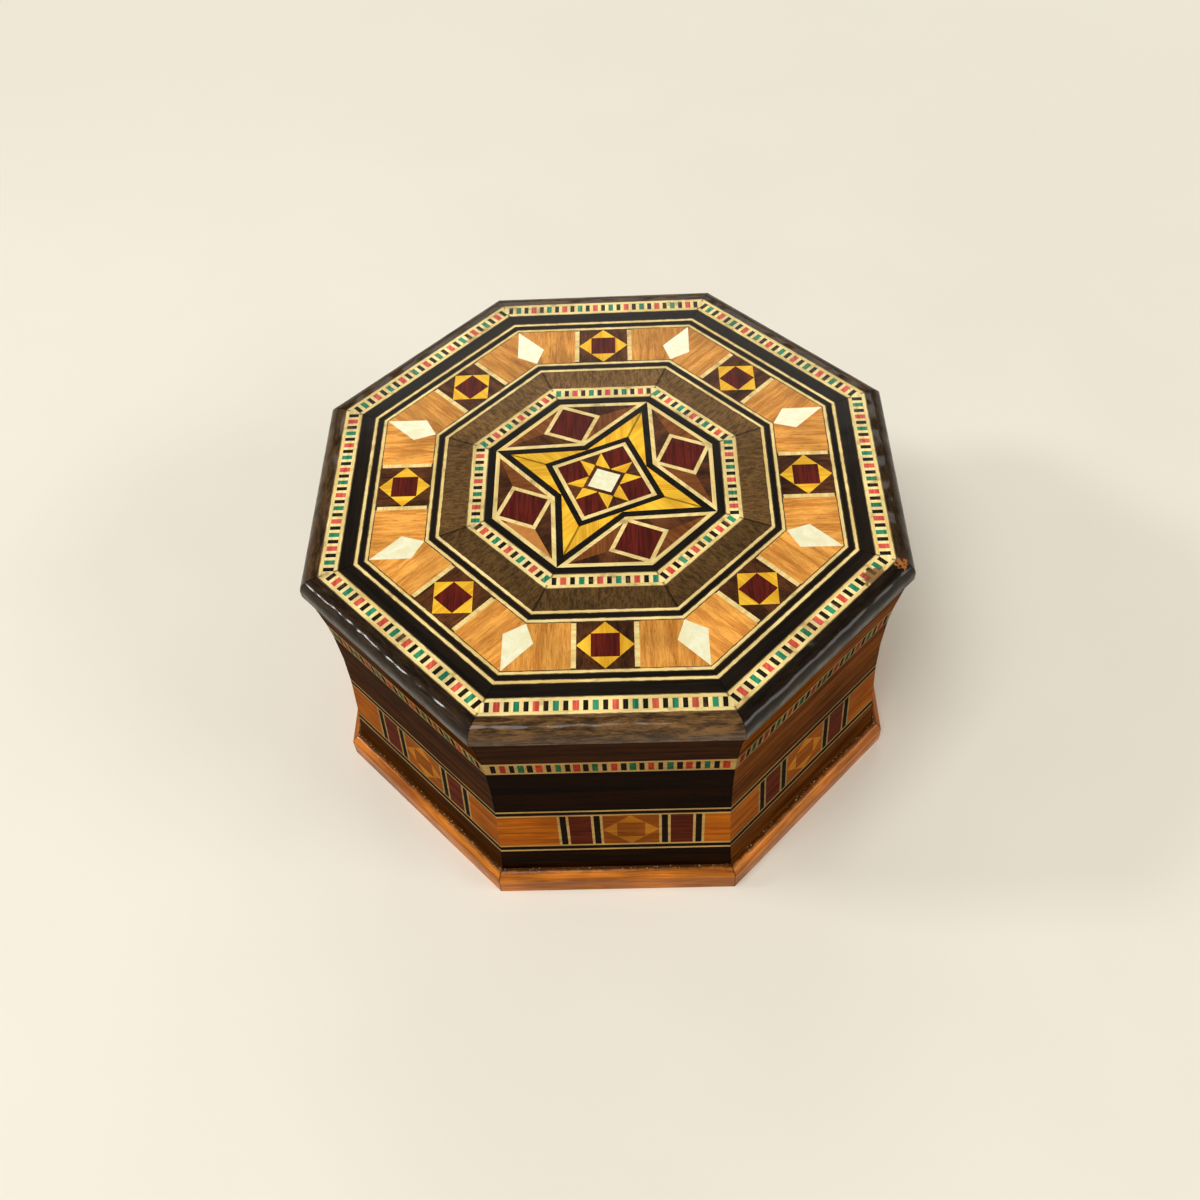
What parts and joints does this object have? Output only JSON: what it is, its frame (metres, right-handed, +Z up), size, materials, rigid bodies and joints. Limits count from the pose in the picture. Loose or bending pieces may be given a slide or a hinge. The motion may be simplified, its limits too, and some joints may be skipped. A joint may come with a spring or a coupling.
{
  "type": "keepsake box",
  "caption": "Octagonal wooden keepsake box with a hinged lid, coved walls, geometric marquetry on top and sides, a moulded plinth and a lined well.",
  "frame": {"origin": "centre of the underside, on the surface that the box stands on", "axes": "+Z up, -Y to the front, +Y to the hinges, +X to the right seen from the front"},
  "size_m": [0.115, 0.115, 0.06],
  "materials": {
    "dark_wood": "dark brown veneer under gloss varnish",
    "taupe_wood": "grey-brown walnut under gloss varnish",
    "black_wood": "black dyed wood under gloss varnish",
    "light_wood": "pale cream wood under gloss varnish",
    "honey_wood": "honey coloured wood with fine grain under gloss varnish",
    "walnut_wood": "dark walnut under gloss varnish",
    "brown_wood": "mid brown wood under gloss varnish",
    "yellow_wood": "bright yellow wood under gloss varnish",
    "red_wood": "dark red rosewood under gloss varnish",
    "olive_wood": "olive brown wood under gloss varnish",
    "red_bead": "coral red dyed wood under gloss varnish",
    "green_bead": "green dyed wood under gloss varnish",
    "pearl": "mother-of-pearl, polished",
    "plinth_wood": "orange-brown wood under gloss varnish",
    "carcass_wood": "plain wood, sanded",
    "velvet": "dark red velvet",
    "brass": "polished brass"
  },
  "bodies": {
    "body": {"base_panel": "carcass_wood", "well_floor_pad": "velvet", "well_lining": "velvet", "body_side_bands": "dark_wood", "body_light_lines": "light_wood", "body_black_lines": "black_wood", "body_honey_panels": "honey_wood", "body_red_blocks": "red_wood", "body_olive_inlays": "olive_wood", "body_yellow_inlays": "yellow_wood", "plinth_front": "plinth_wood", "plinth_front_right": "plinth_wood", "plinth_right": "plinth_wood", "plinth_back_right": "plinth_wood", "plinth_back": "plinth_wood", "plinth_back_left": "plinth_wood", "plinth_left": "plinth_wood", "plinth_front_left": "plinth_wood", "wall_front": "carcass_wood", "wall_front_right": "carcass_wood", "wall_right": "carcass_wood", "wall_back_right": "carcass_wood", "wall_back": "carcass_wood", "wall_back_left": "carcass_wood", "wall_left": "carcass_wood", "wall_front_left": "carcass_wood", "hinge_body_leaf_left": "brass", "hinge_pin_left": "brass", "hinge_body_leaf_right": "brass", "hinge_pin_right": "brass"},
    "lid": {"lid_board": "carcass_wood", "lid_border": "taupe_wood", "lid_ceiling_pad": "velvet", "lid_lining": "velvet", "lid_side_bands": "dark_wood", "side_bead_strips": "light_wood", "bead_channels": "light_wood", "beads_black": "black_wood", "beads_red": "red_bead", "beads_green": "green_bead", "lid_dark_band": "black_wood", "lid_grey_band": "taupe_wood", "lid_light_lines": "light_wood", "lid_black_lines": "black_wood", "lid_honey_panels": "honey_wood", "lid_walnut_inlays": "walnut_wood", "lid_brown_inlays": "brown_wood", "lid_yellow_inlays": "yellow_wood", "lid_red_inlays": "red_wood", "pearl_inlays": "pearl", "lid_wall_front": "carcass_wood", "lid_wall_front_right": "carcass_wood", "lid_wall_right": "carcass_wood", "lid_wall_back_right": "carcass_wood", "lid_wall_back": "carcass_wood", "lid_wall_back_left": "carcass_wood", "lid_wall_left": "carcass_wood", "lid_wall_front_left": "carcass_wood", "hinge_lid_leaf_left": "brass", "hinge_lid_leaf_right": "brass"}
  },
  "joints": [
    {"name": "lid_hinge", "type": "hinge", "parent": "body", "child": "lid", "pos_m": [0, 0.05175, 0.034], "axis": [-1, 0, 0], "range_deg": [0, 100]}
  ]
}
